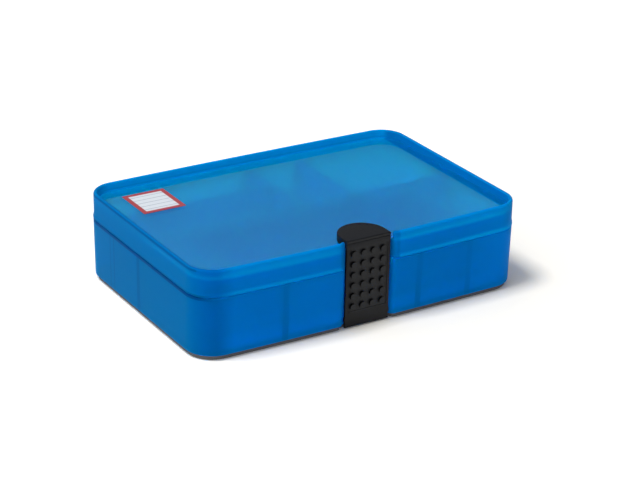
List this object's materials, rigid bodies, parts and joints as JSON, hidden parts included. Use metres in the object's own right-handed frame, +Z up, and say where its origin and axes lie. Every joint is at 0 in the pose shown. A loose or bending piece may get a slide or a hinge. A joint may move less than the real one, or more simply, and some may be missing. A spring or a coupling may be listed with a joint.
{
  "type": "building block storage box",
  "caption": "Low rectangular sorting case with a hinged lid, a front strap latch shaped like a studded plate, loose dividers inside and a foot ring below.",
  "frame": {"origin": "centre of the bounding box on the surface the case stands on, lid closed", "axes": "+X along the front of the case to the right of someone facing the latch, +Y from the front with the latch to the back with the hinges, +Z up"},
  "size_m": [0.321, 0.2246, 0.081],
  "materials": {
    "case_plastic": "translucent blue moulding, softly frosted on the skirt and base, glossy on the lid's panel",
    "divider_plastic": "translucent blue moulding, smooth",
    "latch_plastic": "black, fine satin",
    "foot_plastic": "dark grey, matte",
    "pin_steel": "plain drawn wire"
  },
  "bodies": {
    "case": {"base_tray": "case_plastic", "foot_ring": "foot_plastic", "divider_long": "divider_plastic", "divider_cross": "divider_plastic", "divider_back_middle": "divider_plastic", "divider_back_left": "divider_plastic", "divider_front_left": "divider_plastic", "divider_front_right": "divider_plastic", "hinge_pin_left": "pin_steel", "hinge_pin_right": "pin_steel"},
    "lid": {"lid": "case_plastic", "latch_head": "latch_plastic"},
    "latch": {"latch_strap": "latch_plastic"}
  },
  "joints": [
    {"name": "lid_hinge", "type": "hinge", "parent": "case", "child": "lid", "pos_m": [0, 0.10886, 0.0572], "axis": [-1, 0, 0], "range_deg": [0, 180]},
    {"name": "latch_hinge", "type": "hinge", "parent": "lid", "child": "latch", "pos_m": [0, -0.10824, 0.078], "axis": [-1, 0, 0], "range_deg": [0, 110]}
  ]
}
